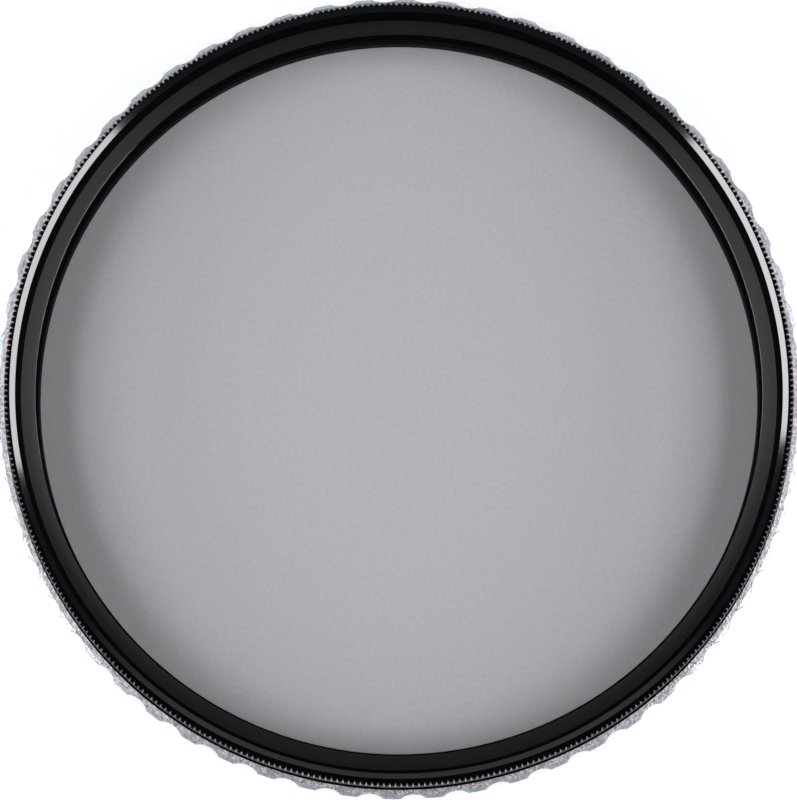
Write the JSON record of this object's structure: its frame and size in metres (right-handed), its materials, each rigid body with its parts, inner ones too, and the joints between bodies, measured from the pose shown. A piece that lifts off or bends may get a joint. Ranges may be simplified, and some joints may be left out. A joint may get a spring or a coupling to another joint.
{
  "type": "rotating screw-in lens filter",
  "caption": "Round screw-in polarising lens filter: grey glass in a black knurled ring that turns in a scalloped mount ring, with a filter thread behind and in front.",
  "frame": {"origin": "on the optical axis, at the rear end of the lens thread", "axes": "+Z along the optical axis, from the lens towards the subject"},
  "size_m": [0.0818, 0.0818, 0.0092],
  "materials": {
    "black_anodised_aluminium": "black anodised, turned",
    "clear_anodised_aluminium": "bead-blasted, clear anodised",
    "spring_steel": "drawn flat wire",
    "coated_glass": "polished, coated",
    "polariser_film": "neutral grey",
    "retarder_film": "clear"
  },
  "bodies": {
    "mount": {"mount_ring": "clear_anodised_aluminium", "snap_ring": "spring_steel"},
    "rotor": {"turning_ring": "black_anodised_aluminium", "front_glass": "coated_glass", "polarising_film": "polariser_film", "quarter_wave_film": "retarder_film", "rear_glass": "coated_glass", "glass_retaining_ring": "black_anodised_aluminium"}
  },
  "joints": [
    {"name": "ring_turn", "type": "hinge", "parent": "mount", "child": "rotor", "pos_m": [0, 0, 0.0045], "axis": [0, 0, 1], "continuous": true}
  ]
}
